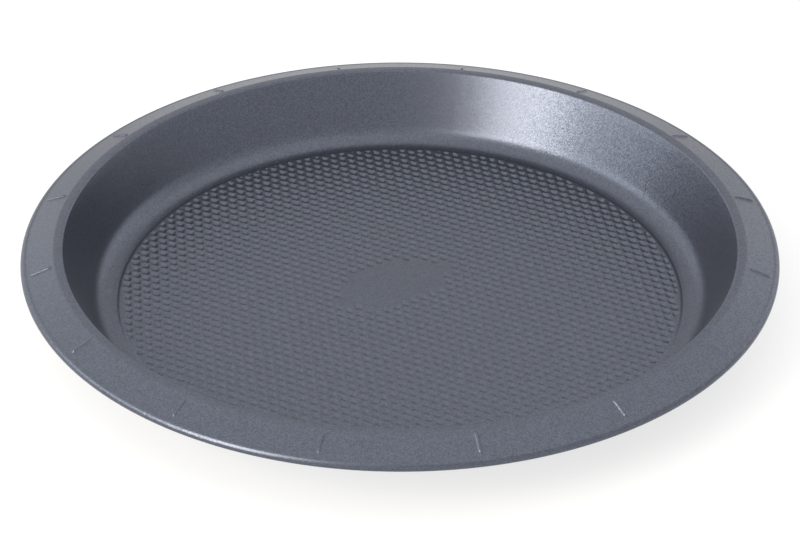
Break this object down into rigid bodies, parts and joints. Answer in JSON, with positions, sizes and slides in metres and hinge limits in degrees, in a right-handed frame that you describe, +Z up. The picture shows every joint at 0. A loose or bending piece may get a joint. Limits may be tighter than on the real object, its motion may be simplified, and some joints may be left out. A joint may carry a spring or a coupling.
{
  "type": "pie dish",
  "caption": "Round wide-rimmed metal pie dish with sloping wall, shallow raised floor panel, radial rim ribs and a rolled edge.",
  "frame": {"origin": "centre of the circle that the dish stands on, in the plane of the worktop", "axes": "+Z up along the dish's axis of rotation, +X midway between two neighbouring rim ribs"},
  "size_m": [0.31, 0.31, 0.03],
  "materials": {
    "steel": "cold-rolled carbon steel, bare at its cut edge",
    "inner_coat": "semi-gloss blue-grey non-stick coat with a fine metallic fleck",
    "outer_coat": "semi-gloss blue-grey non-stick coat with a fine metallic fleck"
  },
  "bodies": {
    "root": {"steel_pan": "steel", "inner_coating": "inner_coat", "outer_coating": "outer_coat"}
  },
  "joints": []
}
